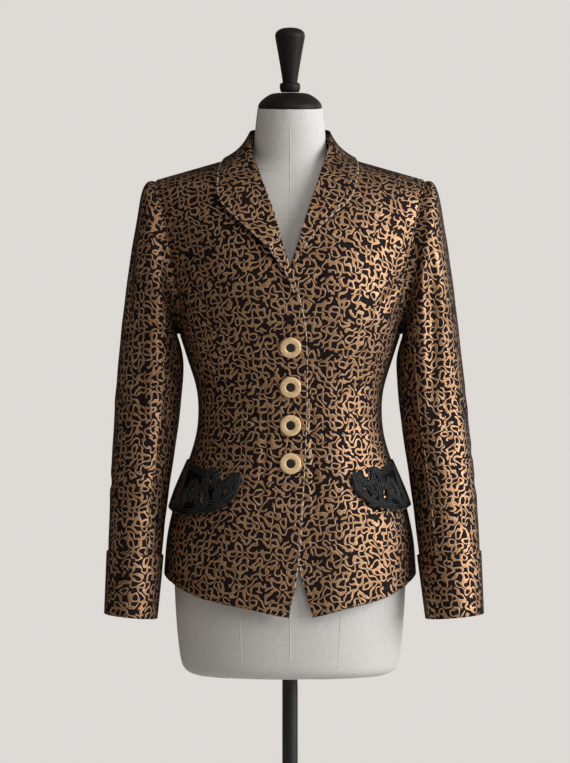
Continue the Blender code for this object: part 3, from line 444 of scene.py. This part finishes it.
for middle, chance in (((0.0, 0.0, 0.0), chances[1]), ((1.0, 1.0, 0.0), chances[2])):
    sockets = {0: corner, 1: middle}
    radius = put(meander, "VectorMath", sockets, operation="DISTANCE").outputs["Value"]
    off_arc = calc(meander, "ABSOLUTE", calc(meander, "SUBTRACT", radius, 0.5))
    left_out = calc(meander, "LESS_THAN", chance, RIBBON_BREAKS)
    arcs.append(calc(meander, "ADD", off_arc, left_out))
off_line = calc(meander, "MULTIPLY", calc(meander, "MINIMUM", *arcs), RIBBON_TILE * 1000)
sockets = {"Vector": takes["Cloth"], "Scale": RIBBON_SWELLS, "Detail": 1.0}
swelling = put(meander, "TexNoise", sockets, noise_dimensions="2D").outputs[0]
fat = eased(meander, swelling, 0.45, 0.70)
half_width = calc(meander, "MULTIPLY_ADD", fat, RIBBON_THICK - RIBBON_THIN, RIBBON_THIN)
inwards = calc(meander, "SUBTRACT", half_width, off_line)
sockets = {"Vector": takes["Cloth"], "Scale": WORN_PATCHES, "Detail": 3.0}
patches = put(meander, "TexNoise", sockets, noise_dimensions="2D").outputs[0]
across = put(meander, "SeparateXYZ", {0: takes["Cloth"]}).outputs
rib = calc(meander, "SINE", calc(meander, "MULTIPLY", across[1], 2 * math.pi / RIB_PITCH))
warp_line = calc(meander, "SINE", calc(meander, "MULTIPLY", across[0], 2 * math.pi / WARP_PITCH))
weave = calc(meander, "MULTIPLY_ADD", rib, 0.16, calc(meander, "MULTIPLY", warp_line, 0.07))
for socket, value in (
    ("Figure", eased(meander, inwards, -0.12, 0.12)),
    ("Heart", eased(meander, inwards, 0.3, 1.3)),
    ("Outline", eased(meander, inwards, -1.0, -0.25)),
    ("Worn", eased(meander, patches, 0.3, 0.7)),
    ("Height", calc(meander, "ADD", eased(meander, inwards, -0.3, 0.6), weave)),
):
    meander.links.new(value, gives[socket])


def figured(name, ground, outline, edge, heart, metal):
    """The jacquard, by the colours of its ground and of its ribbons."""
    made, tree, shader = finish(name, edge, 0.45, specular_ior_level=0.05)
    cloth = put(tree, "UVMap", uv_map="Cloth").outputs[0]
    drawing = put(tree, "Group", node_tree=meander)
    tree.links.new(cloth, drawing.inputs["Cloth"])
    # Ribbons fade into the dark satin on faces seen from the side: partly the raised satin hiding them,
    # partly painted shade that darkens the sides.
    grazing = put(tree, "LayerWeight", {"Blend": 0.5}).outputs["Facing"]
    hidden_and_side_shade = calc(tree, "MULTIPLY", eased(tree, grazing, 0.42, 0.82), RIBBON_SUNK_AND_SIDE_SHADE)
    showing_unshaded = calc(tree, "SUBTRACT", 1.0, hidden_and_side_shade)
    figure = calc(tree, "MULTIPLY", drawing.outputs["Figure"], showing_unshaded)
    ribbon = tint(tree, drawing.outputs["Heart"], edge, heart)
    worn = tint(tree, drawing.outputs["Worn"], tuple(0.82 * c for c in heart), edge)
    ribbon = tint(tree, 0.3, ribbon, worn)
    satin = tint(tree, drawing.outputs["Outline"], ground, outline)
    tree.links.new(tint(tree, figure, satin, ribbon), shader.inputs["Base Color"])
    tree.links.new(calc(tree, "MULTIPLY", figure, metal), shader.inputs["Metallic"])
    tree.links.new(calc(tree, "MULTIPLY_ADD", figure, -0.12, 0.60), shader.inputs["Roughness"])
    raise_by(tree, shader, drawing.outputs["Height"], 0.00022)
    return made


jacquard_face = figured("Jacquard face", GROUND, GROUND_EDGE, BRONZE_PALE, BRONZE_DEEP, 0.85)
jacquard_back = figured("Jacquard back", BACK_FLOAT, BACK_EDGE, GROUND, GROUND_EDGE, 0.0)

# The pressed edges are painted pale along their roll: partly the ribbon colour, partly a painted
# highlight, broken by the dark ground.
pressed_edge_highlight, tree, shader = finish("Pressed edge with painted highlight", EDGE_PALE_AND_HIGHLIGHT, 0.4, specular_ior_level=0.5)
cloth = put(tree, "UVMap", uv_map="Cloth").outputs[0]
along = put(tree, "SeparateXYZ", {0: cloth}).outputs[1]
sockets = {"W": along, "Scale": 1 / EDGE_BREAK, "Detail": 1.0}
breaks = put(tree, "TexNoise", sockets, noise_dimensions="1D").outputs[0]
shown = eased(tree, breaks, 0.44, 0.54)
tree.links.new(tint(tree, shown, GROUND, EDGE_PALE_AND_HIGHLIGHT), shader.inputs["Base Color"])


def skins(shape):
    """The parts of a panel between its edges, the largest ones first."""
    left = set(shape.faces)
    found = []
    while left:
        part = set()
        grow = [left.pop()]
        while grow:
            face = grow.pop()
            part.add(face)
            for edge in face.edges:
                if not edge.seam:
                    near = [f for f in edge.link_faces if f in left]
                    left.difference_update(near)
                    grow += near
        found.append(part)
    return sorted(found, key=lambda part: -sum(f.calc_area() for f in part))


def lay_flat(piece, shift):
    """Cloth coordinates in metres: each skin opened out flat and upright, as it was cut.
    The size is that of the neater of its two skins, with no strip of the edge left on."""
    bpy.context.view_layer.objects.active = piece
    bpy.ops.object.mode_set(mode="EDIT")
    bpy.ops.mesh.select_all(action="SELECT")
    bpy.ops.uv.unwrap(method="MINIMUM_STRETCH", margin=0.001)
    bpy.ops.object.mode_set(mode="OBJECT")
    piece.data.uv_layers[0].name = "Cloth"
    shape = bmesh.new()
    shape.from_mesh(piece.data)
    flat = shape.loops.layers.uv["Cloth"]
    sizes = []
    for part in skins(shape):
        corners = [corner for face in part for corner in face.loops]
        at = np.array([corner[flat].uv for corner in corners])
        high = np.array([corner.vert.co.z for corner in corners])
        area = sum(face.calc_area() for face in part)
        covered = 0.0
        for face in part:
            ring = np.array([corner[flat].uv for corner in face.loops])
            after = np.roll(ring, -1, axis=0)
            covered += abs(np.sum(ring[:, 0] * after[:, 1] - ring[:, 1] * after[:, 0])) / 2
        at = (at - at.mean(axis=0)) * math.sqrt(area / max(covered, 1e-12))
        up = at.T @ (high - high.mean())
        up /= max(np.linalg.norm(up), 1e-12)
        at = at @ np.array(((up[1], up[0]), (-up[0], up[1])))
        sizes.append((*np.ptp(at, axis=0), area))
        for corner, place in zip(corners, at + shift):
            corner[flat].uv = place
    shape.to_mesh(piece.data)
    shape.free()
    whole = [size for size in sizes if size[2] > 0.8 * sizes[0][2]]
    return min(whole, key=lambda size: size[0] * size[1])


def places_of(piece):
    at = np.empty(len(piece.data.vertices) * 3)
    piece.data.vertices.foreach_get("co", at)
    return at.reshape(-1, 3)


def fold(piece, folds, middle, radius):
    """Presses folds into both skins alike: soft troughs, each with low ridges beside it."""
    at = places_of(piece)
    off = at[:, :2] - middle(at[:, 2])
    around = np.degrees(np.arctan2(off[:, 0], -off[:, 1]))
    arc = math.radians(1) * radius
    rising = np.sin(around / WAVE_TURNS[0] + at[:, 2] * WAVE_RISES[0])
    falling = np.sin(at[:, 2] * WAVE_RISES[1] - around / WAVE_TURNS[1])
    deep = UNEVEN * rising * falling
    for turn, low, turn_end, high, wide, depth in folds:
        reach = np.array((((turn_end - turn + 180) % 360 - 180) * arc, high - low))
        away = np.stack((((around - turn + 180) % 360 - 180) * arc, at[:, 2] - low), axis=-1)
        share = np.clip(away @ reach / reach.dot(reach), 0, 1)
        full = 1 - np.abs(2 * share - 1) ** 3
        far = np.linalg.norm(away - share[:, None] * reach, axis=1) / (wide * (0.6 + 0.4 * full))
        ridges = RIDGE_SHARE * np.exp(-(((far - RIDGE_AWAY) / RIDGE_WIDE) ** 2))
        deep += depth * full * (np.exp(-(far**2)) - ridges)
    at[:, :2] -= off / np.linalg.norm(off, axis=1, keepdims=True) * deep[:, None]
    piece.data.vertices.foreach_set("co", at.ravel())


def line_inside(piece, middle):
    """Shows the back of the cloth on the faces that look in to the middle."""
    piece.data.materials.append(jacquard_back)
    for face in piece.data.polygons:
        out = np.array(face.center)[:2] - middle(np.array([face.center.z]))[0]
        if Vector((*out, 0)).normalized().dot(face.normal) < -0.3:
            face.material_index = 1


def body_middle(heights):
    return np.broadcast_to(BODY_MIDDLE, (len(heights), 2))


def panel(node, name, levels, rim=1.0, bend=35):
    """A panel of the blazer on its solid's form, with cloth coordinates of its own."""
    piece = copy_of(node, name, rim, bend)
    count = len(bpy.data.objects)
    wide, long, area = lay_flat(piece, (count * CUT_APART[0], count * CUT_APART[1]))
    rounded(piece, levels)
    return piece


def edge_runs(node, keep, bend=35):
    """Lines along a panel's edge, with the way out of it, where keep holds for a face of it."""
    shape = quads_of(node)
    for edge in shape.edges:
        edge.seam = edge.calc_face_angle(0.0) > math.radians(bend)
    rim = {face for part in skins(shape)[2:] for face in part if keep(face)}
    near = {face: [] for face in rim}
    for face in rim:
        for edge in face.edges:
            near[face] += [f for f in edge.link_faces if f in rim and f != face]

    def ends_first(face):
        return len([f for f in near[face] if f in rim]), face.calc_center_median().z

    runs = []
    while rim:
        face = min(rim, key=ends_first)
        run = []
        while face:
            run.append((face.calc_center_median(), face.normal.copy()))
            rim.remove(face)
            face = next((f for f in near[face] if f in rim), None)
        runs.append(run)
    shape.free()
    return [run for run in runs if len(run) > 3]


def edge_roll(name, node, keep, material, bend=35, radius=EDGE_ROLL):
    """The fine roll of a turned and pressed edge, a little proud of the panel."""
    lines = []
    for run in edge_runs(node, keep, bend):
        lines.append(smooth_line([place + out * EDGE_PROUD for place, out in run], 0.003))
    return belongs(tubes(name, lines, radius), material, "brocade")


for word in ("right", "left"):
    for part, levels in (("front", 3), ("side", 2), ("back", 2)):
        piece = panel(f"{part}_{word}", f"{part}_{word}_cloth", levels)
        belongs(piece, jacquard_face, "brocade", f"{part}_{word}")
        fold(piece, BODY_FOLDS, body_middle, BODY_RADIUS)
        line_inside(piece, body_middle)

for word, side in (("right", -1), ("left", 1)):

    def at_front(face):
        return face.normal.x * side < -0.5 and face.calc_center_median().z < LAPEL_BREAK

    edge_roll(f"front_{word}_edge", f"front_{word}", at_front, pressed_edge_highlight)
    edge_roll(f"front_{word}_hem", f"front_{word}", lambda face: face.normal.z < -0.5, jacquard_face)


# Sleeves: an upper and an under piece each, set in at the armhole with a roped head,
# and hanging free. They break in soft folds down the front and at the elbow.
SLEEVE_RADIUS = 0.047
SLEEVE_HEAD = 1.2  # above this height the sleeves curve in to the shoulder
SLEEVE_BEND = 58  # faces that meet at more than this, in degrees, have an edge between them
ARMHOLE_ROLL = 0.0021
SLEEVE_FOLDS = {
    "right": (
        (-25, 1.150, -12, 0.930, 0.0070, 0.0022),
        (-62, 1.235, -40, 1.100, 0.0080, 0.0026),
        (-85, 1.020, -30, 0.985, 0.0075, 0.0024),
        (20, 1.060, 75, 1.020, 0.0070, 0.0030),
        (35, 1.000, 85, 0.985, 0.0065, 0.0022),
        (30, 0.950, 80, 0.925, 0.0070, 0.0018),
        (-150, 1.050, -95, 0.990, 0.0085, 0.0028),
        (150, 0.960, -160, 1.010, 0.0080, 0.0026),
        (-130, 0.900, -70, 0.885, 0.0075, 0.0020),
        (60, 1.130, 110, 1.090, 0.0070, 0.0024),
        (160, 1.150, -165, 1.060, 0.0090, 0.0030),
    ),
    "left": (
        (24, 1.235, 2, 0.960, 0.0062, 0.0036),
        (-60, 1.170, -30, 1.050, 0.0075, 0.0022),
        (-80, 1.050, -22, 1.010, 0.0070, 0.0026),
        (-85, 0.985, -35, 0.965, 0.0065, 0.0020),
        (40, 1.010, 90, 0.970, 0.0075, 0.0022),
        (55, 0.940, 100, 0.925, 0.0070, 0.0016),
        (95, 1.045, 150, 1.000, 0.0085, 0.0028),
        (160, 1.010, -150, 0.965, 0.0080, 0.0026),
        (70, 0.890, 130, 0.875, 0.0075, 0.0020),
        (-110, 1.090, -60, 1.125, 0.0070, 0.0022),
        (165, 1.060, -160, 1.150, 0.0090, 0.0028),
    ),
}

sleeve_middles = {}
for word in ("right", "left"):
    pieces = []
    for part in ("upper", "under"):
        node = f"sleeve_{part}_{word}"
        rests_on = [f"front_{word}_cloth"]
        pieces.append(panel(node, f"{node}_cloth", 3, 1.0, SLEEVE_BEND))
    at = np.vstack([places_of(piece) for piece in pieces])
    at = at[at[:, 2] < SLEEVE_HEAD]
    trend = np.polyfit(at[:, 2], at[:, :2], 2)

    def sleeve_middle(heights, trend=trend):
        return np.stack([np.polyval(trend[:, i], heights) for i in (0, 1)], axis=-1)

    sleeve_middles[word] = sleeve_middle
    for part, piece in zip(("upper", "under"), pieces):
        belongs(piece, jacquard_face, "brocade", f"sleeve_{part}_{word}")
        fold(piece, SLEEVE_FOLDS[word], sleeve_middles[word], SLEEVE_RADIUS)
        line_inside(piece, sleeve_middles[word])

for word, side in (("right", -1), ("left", 1)):

    def at_armhole(face):
        return face.normal.x * side < -0.6

    name = f"armhole_{word}_seam"
    node = f"sleeve_upper_{word}"
    edge_roll(name, node, at_armhole, jacquard_face, SLEEVE_BEND, ARMHOLE_ROLL)


# Cuffs: a band of the same jacquard, sewn to the end of each sleeve, turned back over
# it and pressed.
CUFF_ROUND = 0.275
CUFF_START = {"right": 8.1, "left": 7.1}  # the place of the cut on the cloth


def wrap_flat(piece, middle, shift):
    """Cloth coordinates in metres for a band that goes all the way round."""
    flat = piece.data.uv_layers.new(name="Cloth")
    for face in piece.data.polygons:
        turns = []
        for corner in face.loop_indices:
            place = piece.data.vertices[piece.data.loops[corner].vertex_index].co
            off = np.array(place)[:2] - middle(np.array([place.z]))[0]
            turns.append((math.atan2(off[0], off[1]), place.z))
        split = max(turns)[0] - min(turns)[0] > math.pi
        for corner, (turn, height) in zip(face.loop_indices, turns):
            turn += 2 * math.pi * (split and turn < 0)
            flat.data[corner].uv = (turn / 2 / math.pi * CUFF_ROUND + shift, height)


for word in ("right", "left"):
    piece = rounded(copy_of(f"cuff_{word}", f"cuff_{word}_cloth", 0.9), 2)
    wrap_flat(piece, sleeve_middles[word], CUFF_START[word])
    belongs(piece, jacquard_face, "brocade", f"cuff_{word}")
    tall = float(np.ptp(places_of(piece)[:, 2]))


# Collar and lapels: a stand and a fall, cut separately, and two small lapels that roll
# back from the fronts. Their outer edges are turned and pressed to a fine roll.
for node, rim, rests_on in (
    ("collar_stand", 1.0, ["front_right_cloth", "front_left_cloth"]),
    ("collar_fall", 0.9, ["collar_stand_cloth"]),
    ("lapel_right", 0.9, ["front_right_cloth"]),
    ("lapel_left", 0.9, ["front_left_cloth"]),
):
    piece = panel(node, f"{node}_cloth", 2, rim)
    belongs(piece, jacquard_face, "brocade", node)

edge_roll("collar_edge", "collar_fall", lambda face: face.normal.z < 0.35, pressed_edge_highlight)
edge_roll("lapel_right_edge", "lapel_right", lambda face: face.normal.x < -0.2, pressed_edge_highlight)
edge_roll("lapel_left_edge", "lapel_left", lambda face: face.normal.x > 0.2, pressed_edge_highlight)


# Hip flaps: one of the same jacquard on each front, slanting down to the side. Its upper
# edge is sewn in at the waist, and the rest hangs free.
for word in ("right", "left"):
    piece = panel(f"flap_{word}", f"flap_{word}_cloth", 2, 0.9)
    belongs(piece, jacquard_face, "brocade", f"flap_{word}")
    fold(piece, BODY_FOLDS, body_middle, BODY_RADIUS)


# Lace on the flaps: black net, with cotton cords couched down on it in scrolls that
# follow its edge and its gaps. It is sewn flat on the front end of each flap.
NET_BLACK = (0.0022, 0.0022, 0.0024)
CORD_BLACK = (0.0120, 0.0120, 0.0130)
CORD_WORN = (0.0290, 0.0290, 0.0310)
CORD = 0.0010  # half the width of a cord
CORD_EVERY = 0.0012  # from one ring of its mesh to the next
CORD_STEPS = (0.0012, 0.0043, 0.0074)  # how far the cords lie in from the edge and from the gaps

# Scrolls, in millimetres from the front tip: along the flap and up.
SCROLLS = (
    ((22, -14), (27, -17), (30, -23), (30, -30), (27, -36), (22, -38), (19, -35)),
    ((26, -13), (32, -17), (35, -25), (34, -33)),
    ((20, -42), (26, -46), (33, -45), (39, -42), (46, -44), (52, -49)),
    ((24, -40), (31, -42), (38, -39), (46, -39), (53, -43), (58, -48)),
    ((12, -8), (17, -10), (20, -14), (18, -18), (15, -17)),
    ((36, -8), (38, -16), (37, -24), (40, -32)),
    ((52, -6), (50, -16), (53, -24), (60, -28), (63, -38)),
    ((60, -6), (58, -14), (63, -22), (69, -30), (70, -42)),
    ((70, -8), (67, -16), (72, -24), (80, -30), (82, -42)),
    ((80, -8), (78, -18), (84, -26), (90, -36), (92, -46)),
)

netted, tree, shader = finish("Black net", NET_BLACK, 0.8, specular_ior_level=0.1)
cloth = put(tree, "UVMap", uv_map="Cloth").outputs[0]
knots = grained(tree, cloth, 900.0, 2.0)
raise_by(tree, shader, knots, 0.0003)

corded, tree, shader = finish("Black cord", CORD_BLACK, 0.5, specular_ior_level=0.4)
cloth = put(tree, "UVMap", uv_map="Cloth").outputs[0]
split = put(tree, "SeparateXYZ", {0: cloth}).outputs
slant = calc(tree, "MULTIPLY_ADD", split[0], 1.2, split[1])
twist = calc(tree, "SINE", calc(tree, "MULTIPLY", slant, 2 * math.pi / 0.0016))
fuzz = grained(tree, cloth, 700.0, 2.0)
worn = eased(tree, fuzz, 0.3, 0.65)
tree.links.new(tint(tree, worn, CORD_BLACK, CORD_WORN), shader.inputs["Base Color"])
raise_by(tree, shader, calc(tree, "MULTIPLY_ADD", twist, 0.5, fuzz), 0.00025)

for word, side in (("right", -1), ("left", 1)):
    node = f"lace_{word}"
    net = panel(node, f"{node}_net", 1, 0.9)
    belongs(net, netted, "lace", node)
    fold(net, BODY_FOLDS, body_middle, BODY_RADIUS)
    skin = surface_of(net, bpy.data.objects[f"flap_{word}_cloth"])

    def on_lace(place):
        out = Vector((place[0] - BODY_MIDDLE[0], place[1] - BODY_MIDDLE[1], 0)).normalized()
        return skin.ray_cast(Vector(place) + out * 0.03, -out)[0]

    lines = []
    for run in edge_runs(node, lambda face: True):
        run.append(run[0])
        for step in CORD_STEPS:
            found = [on_lace(place - out * step) for place, out in run]
            lines.append(smooth_line([place for place in found if place], CORD_EVERY))
    tip = min((v.co for v in net.data.vertices), key=lambda place: place.x * side)
    start = math.atan2(tip.x - BODY_MIDDLE[0], BODY_MIDDLE[1] - tip.y)
    top = max(v.co.z for v in net.data.vertices if (v.co - tip).length < 0.012)
    reach = math.hypot(tip.x - BODY_MIDDLE[0], tip.y - BODY_MIDDLE[1]) + 0.02
    for scroll in SCROLLS:
        found = []
        for along, up in scroll:
            turn = start + side * along / 1000 / BODY_RADIUS
            far = (BODY_MIDDLE[0] + reach * math.sin(turn), BODY_MIDDLE[1] - reach * math.cos(turn))
            found.append(on_lace((*far, top + up / 1000)))
        lines.append(smooth_line([place for place in found if place], CORD_EVERY))
    belongs(tubes(f"{node}_cords", lines, CORD), corded, "lace")


# Buttons: flat turned rings with a matt gold finish and a fine grain, each with a flat
# black centre let in. They are sewn to the left front and hold the right one closed.
GOLD = (0.96, 0.70, 0.40)
GOLD_SHADED = (0.76, 0.52, 0.27)
RING = (
    (6.2, 0.2), (6.2, 3.6), (6.5, 4.2), (7.3, 4.62), (8.2, 4.72), (12.6, 4.72), (13.5, 4.5),
    (14.2, 4.0), (14.5, 3.2), (14.5, 1.4), (13.9, 0.4), (12.8, 0.1),
)  # millimetres: radius and height
CENTRE = ((0.02, 3.3), (4.4, 3.3), (5.3, 3.15), (6.3, 2.7), (6.3, 0.2), (0.02, 0.2))


def turned(name, profile, base, axis, steps=72):
    """A piece turned on a lathe: a closed profile carried round its axis."""
    shape = bmesh.new()
    side = axis.cross(Vector((0, 0, 1))).normalized()
    up = axis.cross(side)
    rings = []
    for step in range(steps):
        turn = 2 * math.pi * step / steps
        out = side * math.cos(turn) + up * math.sin(turn)
        rings.append([shape.verts.new(base + (out * far + axis * high) / 1000) for far, high in profile])
    for ring, after in zip(rings, rings[1:] + rings[:1]):
        for i in range(len(profile)):
            j = (i + 1) % len(profile)
            shape.faces.new((ring[i], after[i], after[j], ring[j]))
    bmesh.ops.recalc_face_normals(shape, faces=shape.faces)
    piece = new_piece(name, shape)
    piece.data.set_sharp_from_angle(angle=math.radians(40))
    return piece


gold, tree, shader = finish("Matt gold", GOLD, 0.5, metallic=0.35, specular_ior_level=0.4)
place = put(tree, "TexCoord").outputs["Object"]
sanded = grained(tree, place, 420.0, 4.0)
tree.links.new(tint(tree, eased(tree, sanded, 0.3, 0.62), GOLD_SHADED, GOLD), shader.inputs["Base Color"])
tree.links.new(calc(tree, "MULTIPLY_ADD", sanded, 0.3, 0.35), shader.inputs["Roughness"])
raise_by(tree, shader, sanded, 0.0002, 0.6)

inlay, tree, shader = finish("Black inlay", (0.012, 0.012, 0.013), 0.42)
place = put(tree, "TexCoord").outputs["Object"]
dust = grained(tree, place, 600.0, 3.0)
tree.links.new(calc(tree, "MULTIPLY_ADD", dust, 0.3, 0.3), shader.inputs["Roughness"])
raise_by(tree, shader, dust, 0.0001, 0.4)

for number in range(1, 5):
    at = places_of(frame["nodes"][f"button_{number}"])
    axis = np.linalg.svd(at - at.mean(axis=0), full_matrices=False)[2][2]
    axis *= -np.sign(axis[1])
    middle = (at.min(axis=0) + at.max(axis=0)) / 2
    low = np.min((at - middle) @ axis)
    base = Vector(middle + axis * low)
    ring = turned(f"button_{number}_ring", RING, base, Vector(axis))
    belongs(ring, gold, "button_metal", f"button_{number}")
    centre = turned(f"button_{number}_inlay", CENTRE, base, Vector(axis))
    belongs(centre, inlay, "button_black", f"button_centre_{number}")


# The setting: a pale floor, soft daylight from a tall window beside the left arm, with
# weak fills, and a pale room all round. The camera stands at the photo's place.
FLOOR_PALE = (0.80, 0.78, 0.75)
FLOOR_RADIUS = 2.4
BACKDROP = (0.73, 0.70, 0.675)
ROOM = (0.84, 0.77, 0.70)
ROOM_STRENGTH = 0.19
PHOTO_SCALE = 0.0014  # metres to a pixel of the photo, at the form's middle
PHOTO_TALL = 763
CAMERA_AWAY = 4.0
CAMERA_SIDE = -0.007
CAMERA_HIGH = 1.0295

pale, tree, shader = finish("Pale floor", FLOOR_PALE, 0.8)
bpy.ops.mesh.primitive_circle_add(vertices=96, radius=FLOOR_RADIUS, fill_type="NGON")
floor = bpy.context.object
floor.name = "floor"
floor.data.materials.append(pale)

world = bpy.data.worlds.new("Pale studio")
world.use_nodes = True
bpy.context.scene.world = world
tree = world.node_tree
seen = tree.nodes["Background"]
seen.inputs["Color"].default_value = (*BACKDROP, 1)
dim = put(tree, "Background", {"Color": (*ROOM, 1), "Strength": ROOM_STRENGTH})
direct = put(tree, "LightPath").outputs["Is Camera Ray"]
both = put(tree, "MixShader", {0: direct, 1: dim.outputs[0], 2: seen.outputs[0]})
tree.links.new(both.outputs[0], tree.nodes["World Output"].inputs["Surface"])


def lamp(name, place, target, size, power, colour):
    light = bpy.data.lights.new(name, "AREA")
    light.shape = "RECTANGLE"
    light.size, light.size_y = size
    light.energy = power
    light.color = colour
    made = bpy.data.objects.new(name, light)
    made.location = place
    made.rotation_euler = (Vector(target) - Vector(place)).to_track_quat("-Z", "Y").to_euler()
    bpy.context.scene.collection.objects.link(made)


lamp("window", (2.92, -1.15, 1.85), (0, 0, 1.05), (2.2, 2.4), 110, (0.96, 0.975, 1.0))
lamp("front fill", (0.4, -2.2, 3.3), (0, 0, 1.1), (1.6, 1.6), 17, (1.0, 0.96, 0.92))
lamp("back fill", (2.2, 2.4, 1.9), (0, 0, 1.0), (1.6, 1.6), 12, (1.0, 0.98, 0.96))

bpy.context.scene.view_settings.view_transform = "Standard"
lens = bpy.data.cameras.new("camera")
lens.sensor_fit = "VERTICAL"
lens.sensor_height = 36
lens.lens = lens.sensor_height * CAMERA_AWAY / (PHOTO_TALL * PHOTO_SCALE)
camera = bpy.data.objects.new("camera", lens)
camera.location = (CAMERA_SIDE, -CAMERA_AWAY, CAMERA_HIGH)
camera.rotation_euler = (math.pi / 2, 0, 0)
bpy.context.scene.collection.objects.link(camera)
bpy.context.scene.camera = camera
